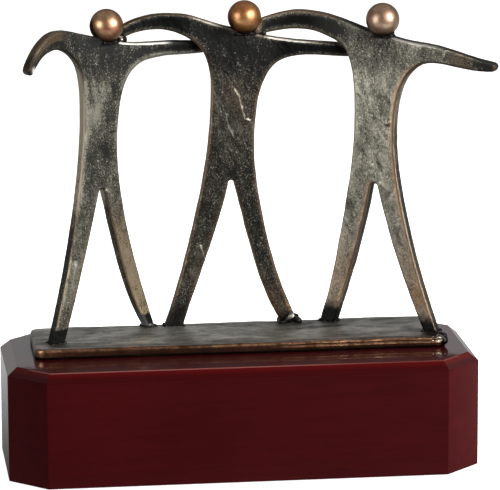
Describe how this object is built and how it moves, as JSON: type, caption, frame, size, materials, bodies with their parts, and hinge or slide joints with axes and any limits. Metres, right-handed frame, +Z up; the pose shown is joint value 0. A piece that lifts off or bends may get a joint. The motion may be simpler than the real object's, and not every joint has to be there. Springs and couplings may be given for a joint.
{
  "type": "figure trophy",
  "caption": "Presentation trophy: flat hammered-metal figures with ball heads stand linked arm to arm on a metal strip fixed to an octagonal lacquered wood base.",
  "frame": {"origin": "centre of the underside of the felt pad, where the trophy rests", "axes": "+Z up; -Y is the front that the figures show; +X runs along the base to the right as seen from the front"},
  "size_m": [0.2105, 0.0844, 0.1949],
  "materials": {
    "lacquered_wood": "dark red rosewood figure under clear high-gloss lacquer",
    "felt": "short matt black felt",
    "plate_metal": "hand-forged strip, dark slate patina with bare copper-coloured edges",
    "left_figure_metal": "hammered sheet, dark brown-black patina with grey flecks and tan edges",
    "middle_figure_metal": "hammered sheet, near-black patina with brown edges",
    "right_figure_metal": "hammered sheet, light pewter-grey patina with orange-brown edges",
    "bronze_ball": "polished antiqued bronze",
    "weld_metal": "dark braze and weld beads",
    "screw_steel": "plain zinc-plated steel"
  },
  "bodies": {
    "root": {"base_plate": "plate_metal", "felt_pad": "felt", "left_arm_weld": "weld_metal", "left_figure": "left_figure_metal", "left_figure_left_foot_weld": "weld_metal", "left_figure_right_foot_weld": "weld_metal", "left_head": "bronze_ball", "left_neck_braze": "weld_metal", "left_shoulder_weld": "weld_metal", "middle_arm_weld": "weld_metal", "middle_figure": "middle_figure_metal", "middle_figure_left_foot_weld": "weld_metal", "middle_figure_right_foot_weld": "weld_metal", "middle_head": "bronze_ball", "middle_neck_braze": "weld_metal", "middle_shoulder_weld": "weld_metal", "plate_screws": "screw_steel", "right_figure": "right_figure_metal", "right_figure_left_foot_weld": "weld_metal", "right_figure_right_foot_weld": "weld_metal", "right_head": "bronze_ball", "right_neck_braze": "weld_metal", "screw_washers": "screw_steel", "wood_base": "lacquered_wood"}
  },
  "joints": []
}
